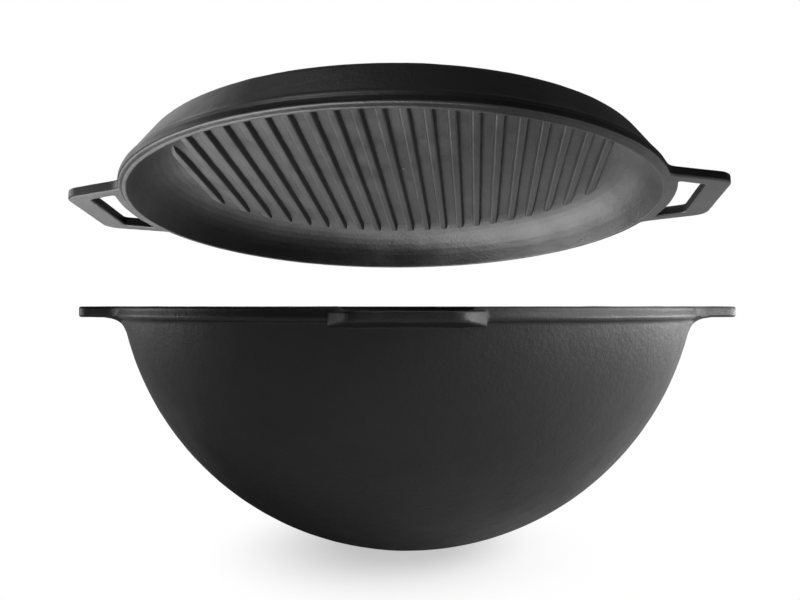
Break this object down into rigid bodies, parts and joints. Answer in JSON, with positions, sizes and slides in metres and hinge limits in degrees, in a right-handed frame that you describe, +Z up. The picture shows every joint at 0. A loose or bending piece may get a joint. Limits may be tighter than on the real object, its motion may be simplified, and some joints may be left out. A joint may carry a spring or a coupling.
{
  "type": "cast iron kazan with grill-pan lid",
  "caption": "Round-bottomed cast iron kazan with loop handles and a pouring lip, shown with its ribbed grill-pan lid lifted and tilted open above it.",
  "frame": {"origin": "middle of the ground pad that the pot stands on", "axes": "+Z up, through the pot's rim; +X along the pot's two handles; -Y towards the pouring lip, which faces the viewer"},
  "size_m": [0.4321, 0.3874, 0.2815],
  "materials": {
    "pot_iron": "matte, seasoned as-cast iron",
    "lid_iron": "matte, seasoned as-cast iron"
  },
  "bodies": {
    "pot": {"kazan_bowl": "pot_iron"},
    "lid": {"grill_lid": "lid_iron"}
  },
  "joints": [
    {"name": "lid_lift", "type": "hinge", "parent": "pot", "child": "lid", "pos_m": [-0.0016, 0.3626, 0.0862], "axis": [-0.9934, -0.026, -0.1115], "range_deg": [-10.66, 20]}
  ]
}
